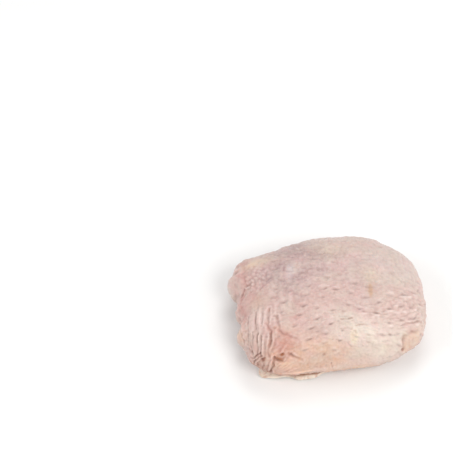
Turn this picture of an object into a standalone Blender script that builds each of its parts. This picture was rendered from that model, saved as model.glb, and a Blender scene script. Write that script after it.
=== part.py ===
"""Raw chicken thigh, skin side up: a slumped pillow of meat wrapped in its skin."""
import bpy
import bmesh
import math
import numpy as np

MM = 0.001

# ------------------------------------------------------------------ sizes, in mm and degrees
# Plan of the thigh seen from above: a rounded rectangle, turned a little in its own frame.
HALF_LENGTH = 52.5
HALF_WIDTH = 40.8
SQUARENESS = 3.1
TURN = 10.0
SHIFT_X = 0.4
SHIFT_Y = 1.5
OVAL_MIDDLE = 1.05
# Where the edge of the plan swells or dips: bearing, half width of the bearing, height.
SWELLS = (
    (160.0, 9.0, 3.2),
    (149.0, 4.5, 1.1),
    (159.0, 3.5, -1.9),
    (177.0, 10.0, -4.5),
    (-166.0, 7.0, -4.3),
    (-149.0, 5.0, -0.9),
    (-141.0, 8.0, 1.4),
    (-31.0, 12.0, -1.6),
    (-32.0, 4.0, -0.8),
    (-50.0, 7.0, 0.7),
    (6.0, 10.0, -0.5),
    (17.0, 14.0, 2.0),
    (46.0, 9.0, -2.7),
    (131.0, 10.0, -1.9),
    (98.0, 18.0, 0.9),
    (-81.0, 14.0, -1.0),
    (-104.0, 13.0, -1.5),
)
# Profile from the top, over the widest line, to the underside.
TOP_HEIGHT = 36.0
WIDEST_HEIGHT = 12.0
UPPER_FULLNESS = 2.5
LOWER_FULLNESS = 2.6
MEAN_RADIUS = 48.0
# Middle of the finished plan, which is moved to the origin.
MIDDLE_X = -0.27
MIDDLE_Y = 2.06

# Skin.
SKIN_THICKNESS = 1.7
SKIN_TO_MEAT_GAP = 0.6
HEM_REACH = 72.0
HEM_WAVES = ((2.0, 1.3, 40.0), (5.0, 0.8, 10.0), (9.0, 0.45, 75.0))
HEM_LIFT = 3.5
HEM_LIFT_BEARING = -122.0
HEM_LIFT_HALF_WIDTH = 24.5
OUTER_CELLS_X = 74
OUTER_CELLS_Y = 50
INNER_CELLS_X = 44
INNER_CELLS_Y = 34
CROWD_LEFT = 0.14
CROWD_FRONT = 0.09

# Pleats gathered at the left end and soft folds round the rim: height, half width, line on
# the flat skin.
PLEATS = (
    (0.7, 1.7, ((-48.5, -13.0), (-46.8, -22.0), (-46.5, -29.0))),
    (0.7, 1.4, ((-42.3, -13.0), (-42.0, -22.0), (-43.5, -33.0))),
    (0.8, 1.5, ((-37.0, -11.0), (-36.8, -22.0), (-39.5, -34.0))),
    (0.8, 1.2, ((-33.0, -12.0), (-33.2, -21.0), (-35.0, -29.0), (-36.5, -37.0))),
    (0.9, 1.3, ((-29.7, -16.0), (-29.6, -25.0), (-31.9, -37.0), (-37.5, -45.0))),
    (0.7, 2.3, ((-25.5, -24.0), (-17.5, -32.0))),
    (0.9, 2.2, ((-26.0, -42.0), (-19.0, -48.0))),
    (0.5, 1.8, ((-24.5, -4.0), (-24.0, -14.0))),
    (0.4, 1.8, ((-30.0, -1.0), (-29.0, -10.0))),
    (0.7, 3.4, ((48.0, 42.0), (32.0, 54.0), (12.0, 61.0), (-10.0, 62.0))),
    (0.6, 3.0, ((62.0, -12.0), (62.5, 6.0), (57.0, 24.0))),
    (0.6, 3.0, ((-16.0, 53.0), (-34.0, 46.0), (-50.0, 33.0))),
)
# Full lobes of skin: height, centre on the flat skin, half length, half width, turn. They
# run out over the last stretch to the hem.
LOBE_RUN_OUT = 9.0
LOBES = (
    (1.3, (-60.0, 12.0), 12.0, 7.0, 170.0),
    (1.7, (-61.0, -6.0), 13.0, 5.2, 7.0),
    (2.5, (-59.5, -22.5), 13.0, 6.0, 21.0),
    (2.3, (50.0, -28.0), 9.0, 7.0, 60.0),
    (0.7, (8.0, 16.0), 30.0, 9.0, 4.0),
    (0.6, (12.0, -31.0), 26.0, 8.0, -4.0),
    (0.5, (-26.0, 20.0), 14.0, 9.0, 30.0),
)

# Meat.
MEAT_SEGMENTS = 64
MEAT_RINGS = 26
RINGS_UNDER_SKIN = 0.56
GATHER_BEARING = -176.0
GATHER_HALF_WIDTH = 26.0
GATHER_INSET = 1.3
STEP_OUT_START = 0.7
STEP_OUT_END = 4.2
BASE_SINK = 1.6
BASE_SINK_RUN = 5.0
# The fat that comes out from under the hem, broad at the front and with a tongue at the
# left: reach, bearing, half width of the bearing.
FAT_FLAPS = ((8.6, -118.0, 26.0), (9.2, -135.5, 8.0))
FAT_CENTRE_PAST_HEM = 6.5
FAT_RUN = 4.0
FAT_START = 1.2
FAT_RISE = 4.0
POLE_SPAN = 0.2
POLE_INSET = 0.99
SEAM_START = 6.0
SEAM_RUN = 6.0

# Seams between the muscles of the underside: depth, half width, line in plan.
SEAMS = (
    (1.5, 3.6, ((-34.0, 6.0), (-16.0, 12.0), (4.0, 9.0), (30.0, 16.0))),
    (1.2, 3.4, ((-8.0, 10.0), (-12.0, -8.0), (-24.0, -22.0))),
)

# Colours.
SKIN_COLOUR = (0.72, 0.53, 0.47, 1.0)
MEAT_COLOUR = (0.62, 0.30, 0.26, 1.0)


# ------------------------------------------------------------------ form of the whole thigh
def bell(bearing, middle, half_width):
    """1 at the bearing of middle, in degrees, falling to 0 over some half widths beside it."""
    away = (bearing - math.radians(middle) + math.pi) % (2.0 * math.pi) - math.pi
    return np.exp(-(away / math.radians(half_width)) ** 2)


def plan_radius(bearing, reach):
    """Radius of the plan: an oval near the middle that grows into a rounded rectangle with
    its swells and dips at the edge, where reach is 1."""
    across = np.abs(np.cos(bearing - math.radians(TURN)))
    along = np.abs(np.sin(bearing - math.radians(TURN)))
    square = (across / HALF_LENGTH) ** SQUARENESS + (along / HALF_WIDTH) ** SQUARENESS
    square = square ** (-1.0 / SQUARENESS)
    oval = OVAL_MIDDLE * ((across / HALF_LENGTH) ** 2 + (along / HALF_WIDTH) ** 2) ** -0.5
    radius = oval + (square - oval) * reach ** 2
    radius = radius + SHIFT_X * np.cos(bearing) + SHIFT_Y * np.sin(bearing)
    for middle, half_width, height in SWELLS:
        radius = radius + height * bell(bearing, middle, half_width) * reach ** 4
    return radius


def profile(turn):
    """Share of the plan radius and height above the floor, for a turn of 0 at the top and
    pi below: two quarter superellipses that meet at the widest line."""
    side = np.sin(turn)
    rise = np.cos(turn)
    power = np.where(turn <= math.pi / 2.0, UPPER_FULLNESS, LOWER_FULLNESS)
    scale = (np.abs(side) ** power + np.abs(rise) ** power) ** (1.0 / power)
    reach = side / scale
    rise = rise / scale
    height = WIDEST_HEIGHT + np.where(rise > 0.0, (TOP_HEIGHT - WIDEST_HEIGHT) * rise, WIDEST_HEIGHT * rise)
    return reach, height


TURNS = np.linspace(0.0, math.pi, 1441)
TURN_REACH, TURN_HEIGHT = profile(TURNS)
STEPS = np.hypot(np.diff(TURN_REACH * MEAN_RADIUS), np.diff(TURN_HEIGHT))
ARC = np.concatenate(([0.0], np.cumsum(STEPS)))


def body(p, q):
    """Point of the smooth thigh for a point p, q of the skin laid flat, top middle at 0, 0:
    the bearing is kept, and the distance is walked along the profile."""
    bearing = np.arctan2(q, p)
    reach, height = profile(np.interp(np.hypot(p, q), ARC, TURNS))
    radius = plan_radius(bearing, reach) * reach
    return np.stack((radius * np.cos(bearing), radius * np.sin(bearing), height), axis=-1)


def outward(p, q):
    """Unit direction square to the smooth thigh, from small steps along p and q."""
    step = 0.05
    along = body(p + step, q) - body(p - step, q)
    across = body(p, q + step) - body(p, q - step)
    normal = np.cross(along, across)
    return normal / np.linalg.norm(normal, axis=-1, keepdims=True)


def line_distance(p, q, line):
    """Distance on the flat skin to a bent line."""
    nearest = np.full(p.shape, 1.0e9)
    for start, end in zip(line[:-1], line[1:]):
        run_p = end[0] - start[0]
        run_q = end[1] - start[1]
        share = ((p - start[0]) * run_p + (q - start[1]) * run_q) / (run_p ** 2 + run_q ** 2)
        share = np.clip(share, 0.0, 1.0)
        gap = np.hypot(p - start[0] - share * run_p, q - start[1] - share * run_q)
        nearest = np.minimum(nearest, gap)
    return nearest


def relief(p, q):
    """Height of the pleats and lobes above the smooth thigh."""
    height = np.zeros(p.shape)
    run_out = smooth_step((hem_reach(np.arctan2(q, p)) - np.hypot(p, q)) / LOBE_RUN_OUT)
    for top, half_width, line in PLEATS:
        height = np.maximum(height, top * np.exp(-(line_distance(p, q, line) / half_width) ** 2))
    for top, centre, half_length, half_width, turn in LOBES:
        cos_turn = math.cos(math.radians(turn))
        sin_turn = math.sin(math.radians(turn))
        along = ((p - centre[0]) * cos_turn + (q - centre[1]) * sin_turn) / half_length
        across = ((q - centre[1]) * cos_turn - (p - centre[0]) * sin_turn) / half_width
        height = height + top * np.exp(-(along ** 2 + across ** 2) ** 1.2) * run_out
    return height


def hem_reach(bearing):
    """How far the skin reaches from the top middle along its surface: a wavy edge, lifted
    over the fat at the front left."""
    reach = HEM_REACH - HEM_LIFT * bell(bearing, HEM_LIFT_BEARING, HEM_LIFT_HALF_WIDTH)
    for count, height, start in HEM_WAVES:
        reach = reach + height * np.sin(count * bearing + math.radians(start))
    return reach


def smooth_step(value):
    """0 below 0, 1 above 1, and a smooth rise between."""
    share = np.clip(value, 0.0, 1.0)
    return share * share * (3.0 - 2.0 * share)


# ------------------------------------------------------------------ building helpers
def coordinates(verts):
    return np.array([vert.co[:] for vert in verts])


def place(verts, points):
    """Moves vertices to points in mm, with the middle of the thigh's plan at the origin."""
    for vert, point in zip(verts, points):
        vert.co = ((point[0] - MIDDLE_X) * MM, (point[1] - MIDDLE_Y) * MM, point[2] * MM)


def flat_skin(square):
    """Square grid of -1 to 1 to the flat skin: crowded towards the left and the front, then
    rounded into a disc and stretched to the hem."""
    a = square[:, 0] - CROWD_LEFT * (1.0 + np.cos(math.pi * square[:, 0]))
    b = square[:, 1] - CROWD_FRONT * (1.0 + np.cos(math.pi * square[:, 1]))
    p = a * np.sqrt(1.0 - b * b / 2.0)
    q = b * np.sqrt(1.0 - a * a / 2.0)
    reach = hem_reach(np.arctan2(q, p))
    return p * reach, q * reach


def finish(mesh_name, bm, colour, roughness, collection):
    mesh = bpy.data.meshes.new(mesh_name)
    bm.to_mesh(mesh)
    bm.free()
    item = bpy.data.objects.new(mesh_name, mesh)
    collection.objects.link(item)
    material = bpy.data.materials.new(mesh_name)
    material.use_nodes = True
    shader = material.node_tree.nodes["Principled BSDF"]
    shader.inputs["Base Color"].default_value = colour
    shader.inputs["Roughness"].default_value = roughness
    material.diffuse_color = colour
    mesh.materials.append(material)
    mesh.shade_smooth()
    return item


def make_skin(collection):
    """The sheet of skin: an outer face with the folds in it and a smooth inner face, joined
    along the hem."""
    bm = bmesh.new()
    made = bmesh.ops.create_grid(bm, x_segments=OUTER_CELLS_X, y_segments=OUTER_CELLS_Y, size=1.0)
    outer = made["verts"]
    p, q = flat_skin(coordinates(outer))
    place(outer, body(p, q) + outward(p, q) * relief(p, q)[:, None])
    made = bmesh.ops.create_grid(bm, x_segments=INNER_CELLS_X, y_segments=INNER_CELLS_Y, size=1.0)
    inner = made["verts"]
    p, q = flat_skin(coordinates(inner))
    place(inner, body(p, q) - outward(p, q) * SKIN_THICKNESS)
    inner_faces = list({face for vert in inner for face in vert.link_faces})
    bmesh.ops.reverse_faces(bm, faces=inner_faces)
    rims = [edge for edge in bm.edges if edge.is_boundary]
    bmesh.ops.bridge_loops(bm, edges=rims)
    bmesh.ops.recalc_face_normals(bm, faces=bm.faces)
    return finish("skin", bm, SKIN_COLOUR, 0.42, collection)


def make_meat(collection):
    """The meat: under the skin it follows the skin's inner face, past the hem it steps out
    flush, and it ends in a flat resting face, with flaps of fat out at the front left."""
    bm = bmesh.new()
    made = bmesh.ops.create_uvsphere(bm, u_segments=MEAT_SEGMENTS, v_segments=MEAT_RINGS, radius=1.0)
    verts = made["verts"]
    ball = coordinates(verts)
    bearing = np.arctan2(ball[:, 1], ball[:, 0])
    ring = np.arccos(np.clip(ball[:, 2], -1.0, 1.0)) / math.pi
    hem = hem_reach(bearing)
    past = np.clip((ring - RINGS_UNDER_SKIN) / (1.0 - RINGS_UNDER_SKIN), 0.0, 1.0)
    under = np.clip(ring / RINGS_UNDER_SKIN, 0.0, 1.0)
    walk = np.where(ring <= RINGS_UNDER_SKIN, hem * under, hem + (ARC[-1] - hem) * past ** 1.5)
    p = walk * np.cos(bearing)
    q = walk * np.sin(bearing)
    step_out = smooth_step((walk - hem - STEP_OUT_START) / (STEP_OUT_END - STEP_OUT_START))
    gathered = bell(bearing, GATHER_BEARING, GATHER_HALF_WIDTH) * smooth_step(walk / hem * 2.0 - 1.0)
    depth = (SKIN_THICKNESS + SKIN_TO_MEAT_GAP + GATHER_INSET * gathered) * (1.0 - step_out)
    pole = walk > ARC[-1] - POLE_SPAN
    p[pole] *= POLE_INSET
    q[pole] *= POLE_INSET
    points = body(p, q) - outward(p, q) * depth[:, None]
    points[pole, 0:2] = 0.0
    fat = np.zeros(walk.shape)
    for flap_reach, middle, half_width in FAT_FLAPS:
        fat = fat + flap_reach * bell(bearing, middle, half_width)
    fat = fat * np.exp(-((walk - hem - FAT_CENTRE_PAST_HEM) / FAT_RUN) ** 2)
    fat = fat * smooth_step((walk - hem - FAT_START) / FAT_RISE)
    points[:, 0] += fat * np.cos(bearing)
    points[:, 1] += fat * np.sin(bearing)
    points[:, 2] -= BASE_SINK * smooth_step((walk - hem - STEP_OUT_START) / BASE_SINK_RUN)
    points[:, 2] = np.maximum(points[:, 2], 0.0)
    below = smooth_step((walk - hem - SEAM_START) / SEAM_RUN)
    for depth, half_width, line in SEAMS:
        gap = line_distance(points[:, 0], points[:, 1], line)
        points[:, 2] += depth * below * np.exp(-(gap / half_width) ** 2) * (gap < 2.2 * half_width)
    place(verts, points)
    bmesh.ops.recalc_face_normals(bm, faces=bm.faces)
    return finish("meat", bm, MEAT_COLOUR, 0.5, collection)


for old in list(bpy.data.objects):
    bpy.data.objects.remove(old, do_unlink=True)

thigh = bpy.data.collections.new("raw chicken thigh")
bpy.context.scene.collection.children.link(thigh)
make_skin(thigh)
make_meat(thigh)
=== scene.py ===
"""Raw chicken thigh, skin side up, on a plain pale floor under soft studio light."""

import math

import bpy
import numpy as np
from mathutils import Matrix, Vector


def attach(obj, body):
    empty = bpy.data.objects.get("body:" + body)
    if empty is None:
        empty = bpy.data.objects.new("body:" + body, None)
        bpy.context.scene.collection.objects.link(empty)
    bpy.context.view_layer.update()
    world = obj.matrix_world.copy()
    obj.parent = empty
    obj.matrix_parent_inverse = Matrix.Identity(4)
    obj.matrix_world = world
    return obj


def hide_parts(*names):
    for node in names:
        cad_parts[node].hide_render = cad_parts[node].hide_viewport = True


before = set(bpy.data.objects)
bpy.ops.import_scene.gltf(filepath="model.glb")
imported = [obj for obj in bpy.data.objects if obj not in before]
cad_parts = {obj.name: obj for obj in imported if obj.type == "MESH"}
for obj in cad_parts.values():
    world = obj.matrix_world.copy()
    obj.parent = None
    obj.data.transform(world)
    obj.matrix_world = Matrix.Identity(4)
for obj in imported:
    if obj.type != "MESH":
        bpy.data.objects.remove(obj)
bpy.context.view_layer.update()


# ---------------------------------------------------------------------------------------
# Camera. It looks down at the thigh from the front, at about 55 degrees where the thigh
# lies. The thigh is right of and below the middle of the picture, so the camera aims at
# the floor behind it and to its left, and needs no shift.
# ---------------------------------------------------------------------------------------
camera_elevation = math.radians(51.62)
camera_distance = 0.7515
camera_target = Vector((-0.05583, 0.06584, 0.0))
camera_back = Vector((0.0, -math.cos(camera_elevation), math.sin(camera_elevation)))

camera = bpy.data.objects.new("camera", bpy.data.cameras.new("camera"))
camera.data.sensor_width = 36.0
camera.data.lens = 100.0
camera.data.clip_start = 0.01
camera.data.clip_end = 20.0
camera.location = camera_target + camera_back * camera_distance
camera.rotation_mode = "QUATERNION"
camera.rotation_quaternion = (-camera_back).to_track_quat("-Z", "Y")
bpy.context.scene.collection.objects.link(camera)
bpy.context.scene.camera = camera
bpy.context.scene.view_settings.view_transform = "Standard"
bpy.context.scene.view_settings.look = "None"


# ---------------------------------------------------------------------------------------
# Floor and light. A pale matt sweep, a large soft lamp above the front right, weaker ones
# all round and a bright room, so that shading stays gentle.
# ---------------------------------------------------------------------------------------
floor_reach = 3.0
floor_colour = (0.90, 0.90, 0.895)
room_colour = (1.0, 1.0, 1.0)
room_brightness = 0.42
# lamps: name, place, height aimed at over the origin, size, power, colour
lamps = (
    ("key lamp", (0.40, -0.50, 0.80), 0.010, 0.5, 4.15, (1.0, 0.985, 0.965)),
    ("side lamp", (-0.75, -0.15, 0.55), 0.010, 0.6, 3.20, (0.99, 0.985, 0.99)),
    ("low lamp", (0.15, -0.90, 0.22), 0.015, 0.5, 0.90, (1.0, 0.99, 0.975)),
    ("right lamp", (0.85, -0.05, 0.40), 0.015, 0.5, 1.80, (1.0, 0.99, 0.975)),
    ("back lamp", (0.10, 0.60, 0.80), 0.010, 0.6, 3.10, (1.0, 1.0, 1.0)),
)


def set_sockets(tree, node, values):
    """Gives the node's own sockets, by name or number, a constant value each, or a link
    where the value is another node's output."""
    for socket, value in values.items():
        if isinstance(value, bpy.types.NodeSocket):
            tree.links.new(value, node.inputs[socket])
        else:
            node.inputs[socket].default_value = value


floor_mesh = bpy.data.meshes.new("floor")
floor_corners = [(x * floor_reach, y * floor_reach, 0.0) for x, y in ((-1, -1), (1, -1), (1, 1), (-1, 1))]
floor_mesh.from_pydata(floor_corners, [], [(0, 1, 2, 3)])
floor = bpy.data.objects.new("floor", floor_mesh)
bpy.context.scene.collection.objects.link(floor)
floor_paint = bpy.data.materials.new("pale floor")
floor_paint.use_nodes = True
floor_tree = floor_paint.node_tree
floor_finish = {"Base Color": (*floor_colour, 1.0), "Roughness": 0.9, "Specular IOR Level": 0.1}
set_sockets(floor_tree, floor_tree.nodes["Principled BSDF"], floor_finish)
floor_mesh.materials.append(floor_paint)

for name, place, aim_height, size, power, colour in lamps:
    lamp = bpy.data.lights.new(name, "AREA")
    lamp.shape = "SQUARE"
    lamp.size = size
    lamp.energy = power
    lamp.color = colour
    holder = bpy.data.objects.new(name, lamp)
    holder.location = place
    holder.rotation_mode = "QUATERNION"
    facing = Vector((0.0, 0.0, aim_height)) - Vector(place)
    holder.rotation_quaternion = facing.to_track_quat("-Z", "Y")
    bpy.context.scene.collection.objects.link(holder)

room = bpy.data.worlds.new("room")
room.use_nodes = True
room_light = {"Color": (*room_colour, 1.0), "Strength": room_brightness}
set_sockets(room.node_tree, room.node_tree.nodes["Background"], room_light)
bpy.context.scene.world = room


# ---------------------------------------------------------------------------------------
# Skin. One sheet of raw skin about 1.7 mm thick with its fat, wrapped over the meat and
# tucked under the rim, gathered into pleats at the left end. It is worked out flat, in
# mm from the top middle (p to the right, q to the back), then laid over the thigh.
# ---------------------------------------------------------------------------------------
# the middle of the thigh's box, from the top middle of the skin
middle_x = -0.27
middle_y = 2.06
# plan: a rounded rectangle, turned and shifted a little, and the oval it grows from
plan_half_length = 52.5
plan_half_width = 40.8
plan_turn = 10.0
plan_power = 3.1
plan_shift_x = 0.4
plan_shift_y = 1.5
oval_spread = 1.05
# profile: heights over the floor, powers of its roundness above and below the widest
# height, and the mean radius that its length is measured on
top_height = 36.0
widest_height = 12.0
upper_power = 2.5
lower_power = 2.6
mean_radius = 48.0
skin_thickness = 1.7
# hem: distance from the top middle, waves of count, height and start, and the stretch that
# is drawn back over the flap of fat: bearing, half width of the bearing, how far
hem_distance = 72.0
hem_waves = ((2.0, 1.3, 40.0), (5.0, 0.8, 10.0), (9.0, 0.45, 75.0))
hem_drawn_back = (-122.0, 24.5, 3.5)
# swells and dips of the edge: bearing, half width of the bearing, height
edge_swells = (
    (160.0, 9.0, 3.2),
    (149.0, 4.5, 1.1),
    (159.0, 3.5, -1.9),
    (177.0, 10.0, -4.5),
    (-166.0, 7.0, -4.3),
    (-149.0, 5.0, -0.9),
    (-141.0, 8.0, 1.4),
    (-31.0, 12.0, -1.6),
    (-32.0, 4.0, -0.8),
    (-50.0, 7.0, 0.7),
    (6.0, 10.0, -0.5),
    (17.0, 14.0, 2.0),
    (46.0, 9.0, -2.7),
    (131.0, 10.0, -1.9),
    (98.0, 18.0, 0.9),
    (-81.0, 14.0, -1.0),
    (-104.0, 13.0, -1.5),
)


def bell(bearing, middle, half_width):
    """1 at the bearing of middle, in degrees: exp(-(angle away over half width) squared)."""
    away = (bearing - math.radians(middle) + math.pi) % (2.0 * math.pi) - math.pi
    return np.exp(-((away / math.radians(half_width)) ** 2))


def plan_radius(bearing, reach):
    """An oval near the middle that grows into a rounded rectangle, |x/a|^n + |y/b|^n = 1,
    where reach is 1, plus a small shift and a soft bell for each swell of the edge."""
    along = np.abs(np.cos(bearing - math.radians(plan_turn))) / plan_half_length
    across = np.abs(np.sin(bearing - math.radians(plan_turn))) / plan_half_width
    square = (along**plan_power + across**plan_power) ** (-1.0 / plan_power)
    oval = oval_spread * (along**2 + across**2) ** -0.5
    radius = oval + (square - oval) * reach**2
    radius = radius + plan_shift_x * np.cos(bearing) + plan_shift_y * np.sin(bearing)
    for middle, half_width, height in edge_swells:
        radius = radius + height * bell(bearing, middle, half_width) * reach**4
    return radius


def profile(turn):
    """Share of the plan radius and height for a turn of 0 at the top and pi below: two
    quarter superellipses, sin and cos of the turn over the root of their power sum."""
    side = np.sin(turn)
    rise = np.cos(turn)
    power = np.where(turn <= math.pi / 2.0, upper_power, lower_power)
    scale = (np.abs(side) ** power + np.abs(rise) ** power) ** (1.0 / power)
    rise = rise / scale
    height = widest_height + np.where(rise > 0.0, top_height - widest_height, widest_height) * rise
    return side / scale, height


# length of the profile from the top down to each turn
turns = np.linspace(0.0, math.pi, 1441)
turn_reach, turn_height = profile(turns)
turn_steps = np.hypot(np.diff(turn_reach * mean_radius), np.diff(turn_height))
arc = np.concatenate(([0.0], np.cumsum(turn_steps)))


def body(p, q):
    """Point of the smooth thigh over point p, q of the flat skin: the bearing is kept and
    the distance from the top middle is walked along the profile."""
    bearing = np.arctan2(q, p)
    reach, height = profile(np.interp(np.hypot(p, q), arc, turns))
    radius = plan_radius(bearing, reach) * reach
    x = radius * np.cos(bearing) - middle_x
    y = radius * np.sin(bearing) - middle_y
    return np.stack((x, y, height), axis=-1)


def outward(p, q):
    """Unit direction square to the smooth thigh: the cross product of small steps of
    body() along p and along q."""
    step = 0.05
    along = body(p + step, q) - body(p - step, q)
    across = body(p, q + step) - body(p, q - step)
    normal = np.cross(along, across)
    return normal / np.linalg.norm(normal, axis=-1, keepdims=True)


def smooth_step(value):
    """0 below 0, 1 above 1, and 3v^2 - 2v^3 between."""
    share = np.clip(value, 0.0, 1.0)
    return share * share * (3.0 - 2.0 * share)


def hem_reach(bearing):
    """How far the skin reaches from the top middle: the hem's distance, less a soft bell
    over the flap of fat, plus the waves round the thigh."""
    middle, half_width, drawn_back = hem_drawn_back
    reach = hem_distance - drawn_back * bell(bearing, middle, half_width)
    for count, height, start in hem_waves:
        reach = reach + height * np.sin(count * bearing + math.radians(start))
    return reach


def line_distance(p, q, line):
    """Distance on the flat skin to a bent line: the least of the distances to its stretches,
    each to the foot of the square on it, held between the stretch's ends."""
    nearest = np.full(p.shape, 1.0e9)
    for start, end in zip(line[:-1], line[1:]):
        run_p = end[0] - start[0]
        run_q = end[1] - start[1]
        share = ((p - start[0]) * run_p + (q - start[1]) * run_q) / (run_p**2 + run_q**2)
        share = np.clip(share, 0.0, 1.0)
        nearest = np.minimum(nearest, np.hypot(p - start[0] - share * run_p, q - start[1] - share * run_q))
    return nearest


def line_bell(p, q, line, half_width):
    """1 on a bent line, falling off as exp(-(distance over half width) squared)."""
    return np.exp(-((line_distance(p, q, line) / half_width) ** 2))


def oval_patch(p, q, centre, half_length, half_width, turn=0.0, edge=1.0):
    """1 in the middle of a turned oval, falling off as exp(-(distance squared)^edge)."""
    cos_turn = math.cos(math.radians(turn))
    sin_turn = math.sin(math.radians(turn))
    along = ((p - centre[0]) * cos_turn + (q - centre[1]) * sin_turn) / half_length
    across = ((q - centre[1]) * cos_turn - (p - centre[0]) * sin_turn) / half_width
    return np.exp(-((along**2 + across**2) ** edge))


# side of the square of seeded numbers that the random patterns repeat
lattice = 64


def drift(p, q, seed):
    """Smooth random field about -1 to 1: seeded heights on a unit lattice, blended by the
    fifth-power smooth step and raised by 1.6."""
    heights = np.random.default_rng(seed).uniform(-1.0, 1.0, (lattice, lattice))
    i = np.floor(p).astype(int)
    j = np.floor(q).astype(int)
    u = p - i
    v = q - j
    u = u * u * u * (u * (u * 6.0 - 15.0) + 10.0)
    v = v * v * v * (v * (v * 6.0 - 15.0) + 10.0)
    next_i = (i + 1) % lattice
    next_j = (j + 1) % lattice
    i = i % lattice
    j = j % lattice
    low = heights[i, j] * (1.0 - u) + heights[next_i, j] * u
    high = heights[i, next_j] * (1.0 - u) + heights[next_i, next_j] * u
    return (low * (1.0 - v) + high * v) * 1.6


# pleats and broad folds: height, half width, line on the flat skin
skin_pleats = (
    (0.7, 1.4, ((-48.5, -14.0), (-46.8, -22.0), (-46.5, -28.0))),
    (0.6, 1.2, ((-42.3, -15.0), (-42.0, -22.0), (-42.6, -27.5), (-43.5, -32.5))),
    (0.6, 1.0, ((-39.2, -24.0), (-39.2, -29.0), (-40.4, -33.5))),
    (0.8, 1.2, ((-36.3, -11.5), (-36.4, -18.0), (-36.0, -23.0))),
    (0.7, 0.9, ((-33.0, -12.0), (-33.0, -17.0), (-33.8, -21.0))),
    (0.6, 0.8, ((-36.4, -25.8), (-36.7, -30.5), (-38.3, -35.5))),
    (0.5, 0.8, ((-34.5, -23.4), (-34.7, -28.5), (-35.4, -32.0), (-36.8, -36.5))),
    (0.8, 0.9, ((-31.8, -27.0), (-32.6, -31.0), (-33.5, -35.0))),
    (0.7, 0.9, ((-28.6, -19.3), (-28.4, -22.5), (-28.1, -26.5), (-29.1, -31.5), (-30.6, -37.0))),
    (0.9, 0.9, ((-32.2, -37.5), (-33.8, -40.8), (-36.6, -44.0), (-40.0, -46.6))),
    (0.6, 0.7, ((-34.0, -38.5), (-35.5, -41.0), (-39.0, -44.5))),
    (0.6, 0.7, ((-37.0, -37.8), (-40.0, -41.5))),
    (0.6, 0.8, ((-40.0, -36.2), (-44.0, -39.5))),
    (0.6, 0.9, ((-42.5, -33.5), (-47.0, -35.5))),
    (0.7, 2.3, ((-25.5, -24.0), (-17.5, -32.0))),
    (0.9, 2.2, ((-26.0, -42.0), (-19.0, -48.0))),
    (0.5, 1.6, ((-24.5, -4.0), (-24.0, -14.0))),
    (0.5, 1.4, ((-19.5, -3.0), (-20.5, -11.0))),
    (0.4, 1.5, ((-30.0, -1.0), (-29.0, -10.0))),
    (0.5, 0.9, ((-32.0, -51.3), (-22.7, -56.0), (-13.6, -58.8), (-5.0, -59.0))),
    (0.7, 3.4, ((48.0, 42.0), (32.0, 54.0), (12.0, 61.0), (-10.0, 62.0))),
    (0.6, 3.0, ((62.0, -12.0), (62.5, 6.0), (57.0, 24.0))),
    (0.6, 3.0, ((-16.0, 53.0), (-34.0, 46.0), (-50.0, 33.0))),
    (0.4, 0.6, ((36.0, -4.8), (40.5, -3.6), (45.0, -1.8))),
    (0.4, 0.6, ((31.0, -9.8), (34.0, -9.0), (37.0, -7.6))),
    (0.4, 0.6, ((38.5, -20.2), (43.0, -18.0), (47.0, -15.0))),
    (0.4, 0.6, ((39.5, -14.2), (44.5, -10.8))),
    (0.4, 0.6, ((26.5, -20.2), (31.0, -18.6))),
    (0.4, 0.7, ((21.0, -13.2), (27.0, -13.4), (30.0, -12.0))),
)
# full lobes: height, centre, half length, half width, turn
skin_lobes = (
    (1.3, (-60.0, 12.0), 12.0, 7.0, 170.0),
    (1.7, (-61.0, -6.0), 13.0, 5.2, 7.0),
    (2.5, (-59.5, -22.5), 13.0, 6.0, 21.0),
    (2.3, (50.0, -28.0), 9.0, 7.0, 60.0),
    (0.7, (8.0, 16.0), 30.0, 9.0, 4.0),
    (0.6, (12.0, -31.0), 26.0, 8.0, -4.0),
    (0.5, (-26.0, 20.0), 14.0, 9.0, 30.0),
    (0.8, (-57.0, 13.0), 8.0, 4.5, -10.0),
    (1.2, (-50.0, 25.0), 6.0, 4.0, 30.0),
    (0.7, (-58.0, -8.0), 6.0, 4.5, 10.0),
    (0.7, (-53.0, -18.5), 5.0, 3.0, 20.0),
    (0.4, (52.5, -21.0), 5.0, 6.0, 60.0),
)
# the groove round the small lobe at the lower right
lobe_groove = (
    (43.8, -33.4),
    (42.6, -31.2),
    (41.8, -28.8),
    (41.6, -26.4),
    (42.2, -24.0),
    (43.6, -22.2),
    (45.9, -20.8),
)
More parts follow.
